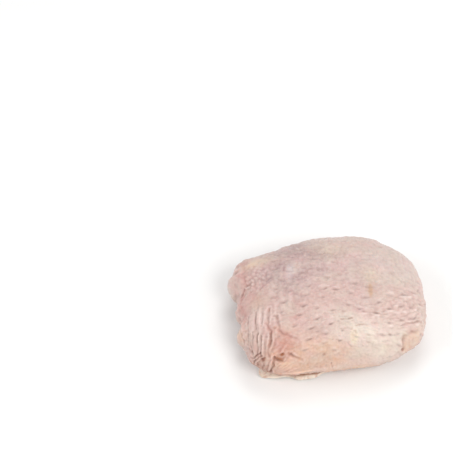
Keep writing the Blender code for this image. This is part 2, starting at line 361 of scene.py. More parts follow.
# creases pressed into the skin: depth, half width, line
skin_creases = (
    (0.65, 0.50, ((-38.5, -13.6), (-38.3, -16.3), (-38.5, -18.9), (-38.8, -21.9))),
    (0.70, 0.50, ((-37.2, -24.8), (-37.5, -28.3), (-38.0, -31.0), (-39.0, -34.0))),
    (0.70, 0.55, ((-30.9, -12.2), (-31.5, -15.4), (-31.5, -18.1), (-32.0, -21.2))),
    (0.78, 0.50, ((-33.0, -20.6), (-31.4, -22.6), (-30.4, -24.3), (-30.3, -26.8), (-31.0, -29.6))),
    (0.75, 0.50, ((-31.0, -29.6), (-31.9, -32.6), (-32.9, -35.0), (-33.9, -37.4))),
    (0.50, 0.45, ((-44.4, -15.0), (-43.1, -18.8), (-43.3, -21.8), (-44.1, -27.0))),
    (0.45, 0.45, ((-35.3, -26.7), (-35.6, -30.1), (-36.4, -32.9), (-37.5, -35.2))),
    (0.40, 0.40, ((-33.7, -28.2), (-34.4, -32.0), (-35.0, -34.3), (-35.8, -36.6))),
    (0.35, 0.45, ((-40.6, -22.8), (-40.5, -26.2), (-41.1, -29.5), (-42.0, -32.2))),
    (0.50, 0.55, ((-28.9, -17.4), (-27.3, -17.6), (-27.0, -19.2), (-26.9, -21.5), (-26.5, -24.4))),
    (0.40, 0.45, ((-34.3, -14.6), (-34.5, -18.3), (-34.8, -21.0))),
    (0.22, 0.55, ((-28.4, -27.4), (-29.2, -30.9), (-30.0, -34.9))),
    (0.70, 0.50, ((-45.1, -30.2), (-43.6, -31.5), (-41.6, -33.2))),
    (0.80, 0.50, ((-43.5, -35.8), (-40.2, -35.0), (-37.2, -34.2))),
    (0.75, 0.50, ((-45.0, -38.6), (-38.7, -36.4), (-36.7, -35.6))),
    (1.30, 0.95, ((-37.9, -38.8), (-36.9, -37.9))),
    (0.75, 0.50, ((-43.9, -41.2), (-38.8, -38.7), (-36.0, -37.6))),
    (0.75, 0.45, ((-36.8, -38.9), (-39.4, -41.4), (-43.0, -44.3))),
    (0.35, 0.40, ((-33.6, -39.4), (-36.4, -42.3), (-41.0, -46.3))),
    (0.90, 0.50, ((-31.8, -38.9), (-32.9, -41.8), (-34.8, -44.3), (-38.8, -47.4))),
    (1.10, 0.70, ((-44.5, -47.3), (-40.5, -47.0), (-38.2, -47.1))),
    (0.30, 0.50, ((-30.8, -22.0), (-29.6, -23.2), (-28.4, -24.0))),
    (0.50, 0.65, ((-27.1, -25.4), (-25.8, -27.8), (-22.8, -30.6))),
    (0.35, 0.50, ((-22.8, -30.5), (-20.5, -32.0), (-18.9, -33.4))),
    (0.75, 0.55, ((-24.5, -39.8), (-23.4, -42.2), (-21.4, -44.3), (-18.8, -46.6))),
    (0.80, 0.60, ((-32.0, -39.4), (-30.6, -41.2), (-28.6, -43.0))),
    (0.80, 0.60, ((-28.2, -38.9), (-27.4, -39.0))),
    (0.80, 0.65, ((-46.5, 3.9), (-48.1, 2.8), (-51.5, 2.2), (-56.2, 1.0))),
    (0.90, 1.20, ((-48.0, 16.5), (-52.5, 17.5), (-58.0, 18.5))),
    (0.70, 0.60, ((-44.9, 5.7), (-42.9, 4.8), (-41.0, 4.8))),
    (0.50, 0.55, ((37.5, -20.6), (40.5, -19.0), (43.5, -17.2), (48.0, -14.8))),
    (0.50, 1.10, lobe_groove),
    (0.45, 0.55, ((-0.5, -54.7), (1.1, -58.6))),
    (0.38, 0.60, ((5.4, -25.7), (8.7, -24.9), (12.0, -24.2))),
    (0.46, 0.60, ((14.6, -28.9), (17.1, -27.4), (20.0, -26.2))),
    (0.22, 0.80, ((-4.1, -21.7), (2.1, -20.9), (8.2, -20.5))),
    (0.32, 0.60, ((-6.0, -2.8), (-4.0, -2.5), (-2.2, -2.3))),
    (0.36, 0.60, ((5.6, -32.2), (8.4, -31.8), (11.5, -31.0))),
    (0.30, 0.55, ((14.3, -32.2), (14.7, -33.8))),
)


def broad_folds(p, q):
    """Height of the pleats and lobes above the smooth thigh: the tallest bell across the
    pleats' lines, plus the ovals of the lobes, which run out over the last 9 mm to the hem."""
    run_out = smooth_step((hem_reach(np.arctan2(q, p)) - np.hypot(p, q)) / 9.0)
    height = np.zeros(p.shape)
    for top, half_width, line in skin_pleats:
        height = np.maximum(height, top * line_bell(p, q, line, half_width))
    for top, *oval in skin_lobes:
        height = height + top * oval_patch(p, q, *oval, 1.2) * run_out
    return height


def creases(p, q):
    """Depth of the creases, each wandering a little beside its line and uneven along it,
    and the height of the soft shoulders that stand 2.3 half widths beside them."""
    shift_p = p + 0.35 * drift(p / 3.0, q / 3.0, 11)
    shift_q = q + 0.35 * drift(p / 3.0, q / 3.0, 12)
    uneven = 0.85 + 0.35 * drift(p / 2.2, q / 2.2, 13)
    depth = np.zeros(p.shape)
    shoulder = np.zeros(p.shape)
    for deep, half_width, line in skin_creases:
        gap = line_distance(shift_p, shift_q, line) / half_width
        depth = np.maximum(depth, deep * np.exp(-(gap**2)))
        shoulder = np.maximum(shoulder, 0.42 * deep * np.exp(-((gap - 2.3) ** 2)))
    return depth * uneven, shoulder * uneven


def pleat_threads(p, q):
    """Fine pleats between the broad ones: ripples of the bearing round the point where
    the pleats meet, at (-42, -50), kept to the gathered end."""
    fan_p = p + 42.0
    fan_q = q + 50.0
    bearing = np.arctan2(fan_q, fan_p)
    away = np.hypot(fan_p, fan_q)
    wander = drift(p / 6.0, q / 7.0, 21)
    ripple = 0.6 * np.sin(38.0 * bearing + 2.2 * wander)
    ripple = ripple + 0.4 * np.sin(61.0 * bearing + 2.0 + 2.0 * wander)
    place = smooth_step((-20.0 - p) / 8.0) * smooth_step((p + 62.0) / 8.0)
    place = place * smooth_step((-2.0 - q) / 12.0) * smooth_step((away - 2.0) / 8.0)
    return ripple * place * (0.7 + 0.5 * drift(p / 4.0, q / 5.0, 22))


def hem_gathers(p, q):
    """Small puckers that run to the hem: ripples of the bearing in the last 16 mm, tall and
    twice as long at the gathered end, low elsewhere, and uneven from place to place."""
    bearing = np.arctan2(q, p)
    inward = hem_reach(bearing) - np.hypot(p, q)
    wander = drift(p / 9.0, q / 9.0, 23)
    ripple = 0.5 * np.sin(37.0 * bearing + 2.5 * wander)
    ripple = ripple + 0.5 * np.sin(59.0 * bearing + 1.0 - 2.0 * wander)
    left_end = smooth_step((-0.55 - np.cos(bearing)) / 0.35)
    place = smooth_step((16.0 + 16.0 * left_end - inward) / 14.0) * smooth_step(inward / 2.0)
    uneven = np.clip(0.6 + 0.6 * drift(p / 8.0, q / 8.0, 24), 0.0, 1.2)
    return ripple * place * (0.25 + 0.75 * left_end) * uneven


# the level that packed mounds are measured from, and where the feet of the knobs are cut off
mound_level = 0.75
knob_foot = 0.45


def pebbles(p, q, seed):
    """Low mounds packed side by side: 1 less the squared distance to the nearest of a
    lattice of jittered points, one in each unit cell, counted from 30 cells away."""
    spots = np.random.default_rng(seed).uniform(0.12, 0.88, (lattice, lattice, 2))
    p = p + 30.0
    q = q + 30.0
    i = np.floor(p).astype(int)
    j = np.floor(q).astype(int)
    nearest = np.full(p.shape, 9.0)
    for step_i in (-1, 0, 1):
        for step_j in (-1, 0, 1):
            spot = spots[(i + step_i) % lattice, (j + step_j) % lattice]
            away = (p - i - step_i - spot[..., 0]) ** 2 + (q - j - step_j - spot[..., 1]) ** 2
            nearest = np.minimum(nearest, away)
    return 1.0 - nearest


def stroke(p, q, at_p, at_q, lean, size, behind, mound, pit, strength):
    """Adds a short pit that tapers and bends, along a line that leans, and a soft mound
    beside it at the distance behind: both are bells of the distance along and across."""
    near = (np.abs(p - at_p) < 7.0) & (np.abs(q - at_q) < 6.0)
    lean = math.radians(lean)
    along = ((p[near] - at_p) * math.cos(lean) + (q[near] - at_q) * math.sin(lean)) / size
    across = (q[near] - at_q) * math.cos(lean) - (p[near] - at_p) * math.sin(lean)
    taper = 0.68 + 0.20 * np.clip(-along / 1.5, -1.0, 1.0)
    cut = np.exp(-((along / 2.0) ** 2) - ((across - 0.06 * along**2) / taper) ** 2)
    rise = np.exp(-((along / 2.1) ** 2) - ((across - behind) / 1.2) ** 2)
    pit[near] = np.maximum(pit[near], cut * strength)
    mound[near] = np.maximum(mound[near], rise * strength)


# those placed one by one, mostly at the round end: place on the flat skin, lean, and how far
# behind the pit its mound stands
placed_strokes = (
    (29.4, -5.4, 5.0, 1.6),
    (36.5, -3.3, 3.0, -1.5),
    (29.7, -13.2, 12.0, -1.5),
    (35.0, -10.7, 28.0, 1.6),
    (40.4, -9.7, 10.0, -1.6),
    (43.3, -14.4, 65.0, 1.4),
    (36.8, -18.2, 25.0, -1.5),
    (31.6, -21.6, 15.0, -1.6),
    (24.3, -17.2, 8.0, -1.6),
    (18.3, -17.8, 5.0, -1.6),
    (17.3, -25.6, 28.0, 1.6),
    (46.8, 3.4, 50.0, 1.4),
    (24.6, -10.2, 6.0, 1.6),
    (33.4, -28.5, 5.0, 1.5),
    (47.0, -5.0, 20.0, -1.5),
    (-19.7, -25.1, 12.0, -1.5),
)


def follicles(p, q):
    """Rows of feather follicles, each a stroke. Row j and place i give p = -9.9 - 2.5 j +
    (6.9 + 0.4 j) i, closer together past p = 20. A row falls gently to the right, then turns
    up towards the round end, where the placed ones stand instead. Returns mound and pit,
    about 0 to 1."""
    chance = np.random.default_rng(7)
    mound = np.zeros(p.shape)
    pit = np.zeros(p.shape)
    usual_behind = 1.9
    for j in range(-9, 10):
        down = min(max(j, 0), 3)
        row_start = -9.9 - 2.5 * j
        place_gap = 6.9 + 0.4 * min(max(j, -4), 3)
        for i in range(-10, 12):
            at_p = row_start + place_gap * i
            if at_p > 20.0:
                at_p = 20.0 + (at_p - 20.0) * 0.86
            fall = (0.24 + 0.11 * down) * (min(at_p, 19.0 - 2.5 * down) - row_start)
            turn_up = 0.42 * max(at_p - 21.0 + 2.0 * down, 0.0)
            at_q = -1.0 - 6.1 * j - fall + turn_up
            at_p = at_p + chance.uniform(-0.9, 0.9)
            at_q = at_q + chance.uniform(-0.8, 0.8)
            size = chance.uniform(0.65, 1.15)
            lean = chance.uniform(-5.0, 15.0)
            strength = chance.uniform(0.35, 1.0) * (1.0 - 0.6 * min(max((at_q - 2.0) / 14.0, 0.0), 1.0))
            if at_p > 12.0 and at_q < -22.0:
                strength = strength * 0.6
            at_round_end = math.hypot((at_p - 36.0) / 19.0, (at_q + 12.5) / 13.0) <= 1.0
            on_facet = math.hypot((at_p + 24.0) / 6.0, (at_q + 32.0) / 9.0) < 1.0
            on_skin = math.hypot(at_p, at_q) < hem_distance - 4.0
            if on_skin and not at_round_end and not on_facet:
                stroke(p, q, at_p, at_q, lean, size, usual_behind, mound, pit, strength)
    for at_p, at_q, lean, behind in placed_strokes:
        size = chance.uniform(0.6, 0.85)
        strength = chance.uniform(0.5, 1.0)
        stroke(p, q, at_p, at_q, lean, size, behind, mound, pit, strength)
    return mound, pit


# small full knobs of the round end, which also carry painted glints: place on the flat skin, height
glint_spots = (
    (29.6, -3.6, 0.9),
    (39.3, -4.0, 1.2),
    (43.5, -1.2, 0.8),
    (30.6, -14.2, 1.2),
    (32.5, -10.7, 0.9),
    (24.7, -19.1, 1.0),
    (17.9, -19.7, 0.8),
    (32.4, -23.2, 1.0),
    (33.5, -14.6, 0.8),
    (36.8, -13.1, 1.0),
    (42.8, -10.0, 1.1),
    (40.0, -18.0, 1.0),
    (45.6, -17.6, 1.2),
    (19.5, -15.2, 0.7),
    (35.0, -7.2, 0.7),
    (0.0, -24.3, 0.7),
    (12.6, -22.4, 0.6),
    (12.8, -27.0, 0.5),
)


def glints(p, q):
    """Height of those knobs: small ovals that lean 12 degrees, 1.3 mm by 0.7 mm."""
    height = np.zeros(p.shape)
    for at_p, at_q, tall in glint_spots:
        height = height + tall * oval_patch(p, q, (at_p, at_q), 1.3, 0.7, 12.0)
    return height


def crowded(steps, bells, least):
    """Steps from -1 to 1 moved closer together where detail is fine: the inverse of the
    running sum of a density made of a least value and bells (place in mm, half width, height)."""
    place = np.linspace(-1.0, 1.0, 2001)
    density = np.full(place.shape, least)
    for middle, half_width, height in bells:
        density = density + height * np.exp(-(((place * hem_distance - middle) / half_width) ** 2))
    total = np.cumsum(density)
    total = (total - total[0]) / (total[-1] - total[0]) * 2.0 - 1.0
    return np.interp(steps, total, place)


# cells each way, closer together at the pleats and the follicles: bells of place, half
# width and height over a least density
skin_cells = 284
bells_across = ((-36.0, 15.0, 1.0), (15.0, 35.0, 0.35))
bells_back = ((-20.0, 30.0, 0.7),)
steps = np.linspace(-1.0, 1.0, skin_cells + 1)
grid_a = crowded(steps, bells_across, least=0.75)[None, :]
grid_b = crowded(steps, bells_back, least=0.70)[:, None]
# square to disc, then stretched to the hem: a sqrt(1 - b^2/2), b sqrt(1 - a^2/2)
p = (grid_a * np.sqrt(1.0 - grid_b**2 / 2.0)).ravel()
q = (grid_b * np.sqrt(1.0 - grid_a**2 / 2.0)).ravel()
bearing = np.arctan2(q, p)
share_out = np.hypot(p, q)
hem = hem_reach(bearing)
p = p * hem
q = q * hem

# painted highlights on the brightest pleat tops: brightness, half width, line
pleat_highlight_lines = (
    (1.0, 0.8, ((-35.6, -12.5), (-35.6, -18.5), (-34.2, -21.5))),
    (0.7, 0.8, ((-40.4, -18.5), (-40.9, -24.0))),
    (0.6, 0.7, ((-32.9, -13.5), (-33.0, -17.5))),
    (0.6, 0.7, ((-32.4, -37.8), (-34.6, -41.2), (-38.6, -44.8))),
)
# the valley between the knobs and the lobes of the left edge
left_valley = (
    (-44.0, 22.0),
    (-43.0, 14.0),
    (-43.3, 9.4),
    (-44.3, 6.7),
    (-49.0, 1.9),
    (-50.6, -4.0),
    (-50.0, -10.0),
    (-48.0, -17.0),
)
# heights of the relief
mound_height = 0.50
pit_depth = 0.70
thread_height = 0.22
long_knob_height = 1.00
round_knob_height = 1.40
small_knob_height = 0.46
glint_height = 0.30
fine_height = 0.18
soft_height = 0.40
gather_height = 0.55
valley_depth = 0.70


def line_bells(p, q, rows):
    """Sum of bells across bent lines, from rows of amount, half width and line."""
    return sum(amount * line_bell(p, q, line, half_width) for amount, half_width, line in rows)


# the zones of the skin: the gathered end, the plain skin off it, the smooth upper right, the
# knobbly round end and upper left, and the facet where the hem's gathers are pressed flat
gathered = smooth_step((-24.0 - p) / 6.0) * smooth_step((-2.0 - q) / 10.0)
plain_skin = (1.0 - gathered) * (1.0 - 0.6 * smooth_step((-40.0 - q) / 10.0))
upper_right = oval_patch(p, q, (32.0, 16.0), 24.0, 17.0, 20.0, 2.0)
round_end = oval_patch(p, q, (36.0, -12.5), 20.0, 11.0, 25.0, 1.6)
left_knobs = oval_patch(p, q, (-38.5, 8.0), 8.5, 8.5, 0.0, 1.6)
pressed_flat = oval_patch(p, q, (-27.5, -47.5), 7.5, 3.8, -27.0, 1.5)

mound, pit = follicles(p, q)
mound = mound * (1.0 - 0.6 * smooth_step((q + 4.0) / 16.0)) * (1.0 - 0.5 * smooth_step((-6.0 - p) / 12.0))
follicle_weight = plain_skin * (1.0 - 0.6 * upper_right) * (1.0 - 0.4 * smooth_step((-28.0 - p) / 8.0))
crease, shoulder = creases(p, q)
threads = pleat_threads(p, q)
gathers = hem_gathers(p, q) * (1.0 - 0.75 * pressed_flat)
glint = glints(p, q)
pleat_highlight_tops = line_bells(p, q, pleat_highlight_lines)
to_valley = line_distance(p + 0.6 * drift(p / 3.0, q / 3.0, 14), q, left_valley)
# towards the back the skin lies flatter and its grain is drawn out
back_q = np.where(q > 0.0, q / (1.0 + q / 45.0), q)
# knobs: long ones at the round end and what lies below each, round ones, and small ones all over
bent_q = q - 0.42 * (p - 38.0) + 1.2 * drift(p / 7.0, q / 5.0, 31)
long_knobs = np.maximum(pebbles(p / 3.0, bent_q / 2.4, 32), knob_foot) - mound_level
below_knobs = pebbles(p / 3.0, (bent_q + 1.0) / 2.4, 32) - mound_level - long_knobs
uneven = 0.75 + 0.45 * drift(p / 3.0, q / 3.0, 35)
round_knobs = np.maximum(pebbles(p / 2.4, (q + 0.3 * p) / 2.1, 36), knob_foot) - mound_level
round_knobs = round_knobs * uneven
small_knobs = pebbles(p / 2.1, back_q / 1.7, 34) - mound_level
fine = 0.6 * drift(p / 2.2, back_q / 1.3, 41) + 0.4 * drift(p / 1.1 + 7.0, back_q / 0.8, 42)
soft = 0.6 * drift(p / 11.0, back_q / 8.0, 43) + 0.4 * drift(p / 4.6, back_q / 4.0, 44)

relief = broad_folds(p, q) + shoulder - crease
relief = relief + follicle_weight * (mound_height * mound * (1.0 + 0.3 * round_end) - pit_depth * pit)
relief = relief + long_knob_height * round_end * long_knobs + round_knob_height * left_knobs * round_knobs
relief = relief + small_knob_height * small_knobs + glint_height * glint + thread_height * threads
relief = relief + fine_height * fine + soft_height * soft + gather_height * gathers
relief = relief - valley_depth * np.exp(-((to_valley / 1.5) ** 2)) * smooth_step((q + 12.0) / 16.0)
# over the last 50th of the way to the hem it runs out to nothing
relief = relief * smooth_step((1.0 - share_out) / 0.02)


def smoothed(field, passes):
    """The field on the square grid averaged with its neighbours, with weights 1, 2, 1 along
    and then across, as many times as passes says."""
    square = field.reshape(skin_cells + 1, skin_cells + 1)
    for axis in (0, 1) * passes:
        square = (np.roll(square, 1, axis) + 2.0 * square + np.roll(square, -1, axis)) / 4.0
    return square.ravel()


# where the relief stands above its surroundings, and where it lies below them
crest = relief - smoothed(relief, passes=6)
outer = body(p, q) + outward(p, q) * relief[:, None]

# the rim of the grid, walked once round; from there the skin rolls over the hem by these
# turns, and its inner side runs back by these shares of the hem to a closing middle
hem_turns = (36.0, 72.0, 108.0, 144.0)
inner_shares = (1.0, 0.94, 0.88, 0.82, 0.75, 0.66, 0.56, 0.46, 0.35, 0.22, 0.10)
index = np.arange((skin_cells + 1) ** 2).reshape(skin_cells + 1, skin_cells + 1)
rim = np.concatenate((index[0, :-1], index[:-1, -1], index[-1, :0:-1], index[:0:-1, 0]))
rim_bearing = bearing[rim]
rim_hem = hem_reach(rim_bearing)
inner_rows = []
for turn in hem_turns:
    walk = rim_hem + 0.5 * skin_thickness * math.sin(math.radians(turn))
    depth = 0.5 * skin_thickness * (1.0 - math.cos(math.radians(turn)))
    inner_rows.append((walk, depth))
for share in inner_shares:
    inner_rows.append((rim_hem * share, skin_thickness))
inner = []
for walk, depth in inner_rows:
    row_p = walk * np.cos(rim_bearing)
    row_q = walk * np.sin(rim_bearing)
    inner.append(body(row_p, row_q) - outward(row_p, row_q) * depth)
inner.append(np.array([[-middle_x, -middle_y, top_height - skin_thickness]]))
skin_points = np.concatenate([outer] + inner)


def quad_faces(grid):
    """Corner numbers of the quads of a grid of vertex numbers, row by row."""
    return np.stack((grid[:-1, :-1], grid[:-1, 1:], grid[1:, 1:], grid[1:, :-1]), axis=-1).reshape(-1, 4)


def closed_mesh(name, points, quads, fan):
    """A mesh from points in mm, quads and the triangles of a fan, with smooth shading."""
    mesh = bpy.data.meshes.new(name)
    faces = quads.tolist() + fan.tolist()
    mesh.from_pydata((points * 0.001).tolist(), [], faces)
    mesh.polygons.foreach_set("use_smooth", np.ones(len(faces), dtype=bool))
    mesh.update()
    return mesh


rim_count = len(rim)
rings = len(outer) + np.arange(len(inner_rows) * rim_count).reshape(len(inner_rows), rim_count)
rings = np.concatenate((rim[None, :], rings))
rings = np.concatenate((rings, rings[:, :1]), axis=1)
closing = np.full(rim_count, len(skin_points) - 1)
skin_quads = np.concatenate((quad_faces(index), quad_faces(rings)[:, ::-1]))
skin_fan = np.stack((rings[-1, :-1], closing, rings[-1, 1:]), axis=-1)
skin_mesh = closed_mesh("skin", skin_points, skin_quads, skin_fan)


def paint_amount(mesh, name, amount):
    """A float attribute on the mesh's vertices, held to 0 to 1, and 0 past the painted ones."""
    values = np.zeros(len(mesh.vertices), dtype=np.float32)
    values[: amount.size] = np.clip(amount, 0.0, 1.0).ravel()
    mesh.attributes.new(name, "FLOAT", "POINT").data.foreach_set("value", values)


def with_ovals(p, q, amount, ovals):
    """The amount with turned ovals laid on it one by one: a share above 0 is added, and one
    below 0 takes that share away from what lies there so far."""
    for share, *oval in ovals:
        patch = oval_patch(p, q, *oval)
        amount = amount + share * patch if share > 0.0 else amount * (1.0 + share * patch)
    return amount


# ovals of each colour: share, middle, half length, half width, and turn and edge where they
# aren't 0 and 1
colour_ovals = {
    "blush": (
        (1.20, (-47.0, 2.0), 14.0, 20.0, 0.0, 1.3),
        (1.30, (-26.5, -30.0), 5.0, 7.0, -20.0),
        (0.55, (-2.0, -2.0), 24.0, 18.0, -12.0),
        (0.60, (34.0, -8.0), 12.0, 9.0, 15.0),
        (0.60, (-37.0, 0.0), 9.0, 11.0),
        (0.60, (-41.5, -8.0), 5.0, 7.0),
        (0.60, (-32.4, -28.5), 1.4, 6.0, 4.0),
        (0.80, (-18.5, -18.5), 3.5, 2.2),
        (0.60, (-17.0, -12.0), 3.0, 2.0),
        (-0.80, (-59.0, 12.5), 7.0, 6.0, -20.0, 1.5),
    ),
    "mauve": (
        (1.15, (-18.0, 14.0), 22.0, 17.0, 60.0, 1.3),
        (0.20, (-33.0, -28.5), 1.8, 6.5, 4.0, 1.5),
        (0.28, (-29.0, 14.0), 9.0, 9.0),
        (0.25, (-25.0, 5.5), 5.0, 4.0),
        (0.60, (-12.0, 32.0), 20.0, 9.0),
        (0.45, (14.0, 8.0), 17.0, 12.0),
        (0.45, (-16.8, 13.2), 3.0, 3.6),
        (0.25, (-13.0, 32.8), 6.0, 3.0),
        (-0.40, (-11.0, 8.5), 4.0, 4.0),
        (-0.65, (-28.3, 17.2), 6.5, 4.6, -8.0, 1.4),
        (0.20, (-23.5, 9.0), 2.6, 5.0),
        (-0.50, (-20.0, 8.3), 1.7, 5.2, 0.0, 1.5),
        (0.25, (17.0, 4.0), 8.0, 7.0),
        (0.20, (12.0, -14.0), 14.0, 7.0),
    ),
    "grey": (
        (1.00, (33.0, 14.0), 22.0, 17.0, 10.0, 1.3),
        (0.50, (16.0, -12.0), 7.0, 5.0),
        (0.45, (2.0, 37.0), 28.0, 7.0, -5.0),
        (0.80, (-58.0, 12.5), 8.0, 5.0, -20.0),
    ),
    "bluish": ((1.00, (-20.0, 8.3), 1.7, 5.4, 0.0, 1.5),),
    "cream": (
        (1.00, (24.0, -32.0), 24.0, 10.0, 12.0, 1.3),
        (0.50, (12.0, -22.0), 14.0, 5.0, -8.0),
        (0.40, (48.0, -14.0), 6.0, 9.0),
        (0.50, (33.0, -40.0), 14.0, 5.0, 18.0),
        (0.45, (25.0, -37.0), 12.0, 8.0),
        (0.60, (40.2, -24.5), 1.6, 2.6, -20.0),
        (0.40, (20.0, -48.0), 15.0, 5.5, 8.0, 1.5),
    ),
    "yellow": (
        (1.25, (13.9, -36.3), 2.5, 4.6, 0.0, 1.5),
        (0.60, (-27.0, -46.0), 4.0, 2.5, -30.0),
        (0.38, (0.0, 29.0), 12.0, 8.0),
        (0.20, (30.0, -38.0), 9.0, 6.0),
        (0.45, (-37.0, 17.6), 5.0, 3.6, 20.0),
        (0.50, (19.0, 6.0), 5.0, 5.0),
    ),
    "peach": (
        (-0.55, (20.0, -48.0), 15.0, 5.5, 8.0, 1.5),
        (1.00, (47.0, -28.0), 6.5, 7.5, 0.0, 1.8),
        (0.90, (-38.8, 19.0), 6.5, 4.2),
        (0.80, (-51.0, -23.0), 6.0, 5.0),
    ),
    "amber": (
        (0.60, (-30.0, -43.0), 4.5, 6.0),
        (0.90, (-28.6, -24.4), 2.8, 2.0, -20.0),
        (0.45, (-31.2, -43.6), 3.2, 2.0, -30.0),
        (1.00, (-26.0, -33.5), 7.0, 9.5, -15.0, 1.2),
        (0.65, (45.0, -27.5), 1.8, 3.6),
        (0.42, (-18.5, -39.5), 8.0, 6.0),
    ),
    "tan": (
        (0.35, (-42.5, -43.0), 6.5, 4.0, -45.0),
        (0.28, (-40.5, -31.5), 3.5, 6.0),
        (0.30, (-35.8, -36.7), 2.0, 2.4),
        (0.30, (-37.5, -7.5), 7.0, 4.5),
        (1.20, (19.5, -3.2), 1.0, 4.0, 8.0, 1.5),
        (0.25, (19.6, -2.6), 2.6, 5.0, 8.0),
    ),
    "browned": (
        (1.20, (-39.4, -46.6), 1.6, 1.2, 60.0, 1.5),
        (1.20, (-37.5, -38.4), 1.3, 0.9, 45.0, 1.5),
        (1.00, (44.0, -33.8), 1.2, 1.0, 0.0, 1.5),
        (0.80, (-5.5, -47.9), 1.1, 0.9),
    ),
    "rose": (
        (0.25, (-41.0, -6.0), 6.0, 9.0),
        (0.75, (-25.6, -32.5), 4.2, 6.5, 10.0, 1.6),
        (0.80, (-18.6, -19.6), 2.8, 1.4),
        (0.50, (-15.8, -12.2), 2.6, 1.4),
        (0.45, (-28.8, -33.5), 2.2, 5.5, 8.0, 1.5),
    ),
    "glow": (
        (0.50, (-30.8, -37.8), 2.0, 1.4),
        (0.90, (-28.0, -47.2), 7.0, 3.0, -27.0, 1.4),
        (0.70, (-28.0, -44.6), 2.6, 1.5, -20.0),
        (0.70, (-25.0, -43.0), 2.0, 1.6),
    ),
    "rust": (
        (1.00, (-29.7, -41.1), 2.6, 1.2, -42.0, 1.3),
        (1.10, (-27.7, -39.0), 1.2, 0.8, 0.0, 1.5),
        (0.35, (-26.2, -40.6), 2.4, 1.3),
    ),
    # painted light over the back edge, where the skin turns away, and painted highlights on the pleats and
    # on a lobe of the left edge
    "pale": (
        (0.35, (6.0, 38.0), 28.0, 11.0, -10.0, 1.5),
        (0.60, (-36.5, -16.5), 12.0, 7.0, 10.0, 1.5),
        (0.40, (-54.0, -8.5), 3.0, 4.0),
    ),
    # painted shade along the lower right edge and in the lower left corner
    "painted_crease_shade": (
        (0.30, (54.0, -24.0), 8.0, 2.5, 65.0),
        (0.50, (-43.5, -42.5), 8.0, 5.5, -45.0),
    ),
}
# lines that are rosy, and a painted highlight along the front rim: amount, half width, line
rose_lines = (
    (1.0, 1.3, ((-27.3, -25.2), (-25.5, -28.0), (-22.5, -30.6))),
    (0.3, 2.2, ((-47.8, -15.0), (-46.6, -23.0))),
    (0.9, 1.1, ((-32.4, -20.8), (-31.2, -22.9), (-29.8, -25.0))),
)
front_rim = ((-13.0, -60.0), (-2.5, -59.8), (6.5, -58.6), (21.5, -53.6), (29.0, -50.0), (35.0, -45.6))
painted_highlight_lines = ((0.75, 3.2, front_rim),)

# what the ovals are laid on: painted highlights on mounds, knobs and crests, painted shade in
# pits, hollows and creases, and rosy valleys. A painted highlight on the lip over the flap of
# fat is an oval of distance and bearing
pale = 0.7 * mound * follicle_weight * (1.0 + 0.6 * round_end) + shoulder
pale = pale + 2.5 * np.maximum(long_knobs - 0.05, 0.0) * round_end
pale = pale + 3.5 * np.maximum(round_knobs - 0.05, 0.0) * left_knobs
pale = pale + 0.5 * np.maximum(threads, 0.0) + 1.8 * np.maximum(crest, 0.0)
# painted shade in the follicle pits, under the long knobs of the round end and in hollows
painted_shade = 0.65 * pit * follicle_weight + 0.9 * np.clip(below_knobs - 0.12, 0.0, 0.4) * round_end
painted_shade = painted_shade - 0.25 * np.minimum(threads, 0.0) - 0.9 * np.minimum(crest, 0.0)
rose = np.exp(-((to_valley / 2.4) ** 2)) * (1.0 - 0.55 * smooth_step((q - 6.0) / 8.0))
rose = rose + 2.2 * left_knobs * np.maximum(0.02 - round_knobs, 0.0)
amber = 0.6 * gathered * smooth_step((-q - 32.0) / 8.0)
amber = amber + 0.35 * smooth_step((-q - 40.0) / 10.0) * smooth_step((14.0 - p) / 8.0)
ground = {
    "blush": 0.45 * gathered,
    "peach": smooth_step((-q - 33.0 - 0.31 * p) / 12.0) * smooth_step((p + 40.0) / 14.0),
    "amber": amber,
    "rose": rose + line_bells(p, q, rose_lines),
    "pale": pale + line_bells(p, q, painted_highlight_lines),
    "painted_lip_highlight": oval_patch(np.hypot(p, q), np.degrees(bearing), (60.8, -111.0), 1.0, 10.0, 0.0, 1.5),
    # painted glints on the knobs of the round end and on the brightest pleat tops
    "glint": glint + 0.8 * pleat_highlight_tops * (0.75 + 0.4 * fine),
    "painted_shade": painted_shade,
    "painted_crease_shade": 0.9 * crease,
}
for name in {**colour_ovals, **ground}:
    amount = with_ovals(p, q, ground.get(name, 0.0), colour_ovals.get(name, ()))
    paint_amount(skin_mesh, name, amount)


def add_node(tree, kind, sockets=None, **settings):
    """A shader node of that kind with its properties and sockets set."""
    node = tree.nodes.new(kind)
    for key, value in settings.items():
        setattr(node, key, value)
    set_sockets(tree, node, sockets or {})
    return node


def speckle(tree, where, scale, detail, low, high, shift=(0.0, 0.0, 0.0)):
    """Noise on the place moved by shift, stretched so that low to high becomes 0 to 1."""
    moved = add_node(tree, "ShaderNodeVectorMath", {0: where, 1: shift}, operation="ADD")
    noise_sockets = {"Vector": moved.outputs[0], "Scale": scale, "Detail": detail, "Roughness": 0.55}
    noise = add_node(tree, "ShaderNodeTexNoise", noise_sockets)
    range_sockets = {"Value": noise.outputs["Fac"], "From Min": low, "From Max": high}
    return add_node(tree, "ShaderNodeMapRange", range_sockets).outputs["Result"]


def stain(tree, under, colour, amount, strength, breaks=None):
    """Mixes colour over the one under it, by an amount times a strength, and broken up by
    a speckle if one is given."""
    factor = add_node(tree, "ShaderNodeMath", {0: amount, 1: strength}, operation="MULTIPLY").outputs[0]
    if breaks is not None:
        factor = add_node(tree, "ShaderNodeMath", {0: factor, 1: breaks}, operation="MULTIPLY").outputs[0]
    mix_sockets = {0: factor, 6: under, 7: (*colour, 1.0)}
    return add_node(tree, "ShaderNodeMix", mix_sockets, data_type="RGBA").outputs[2]


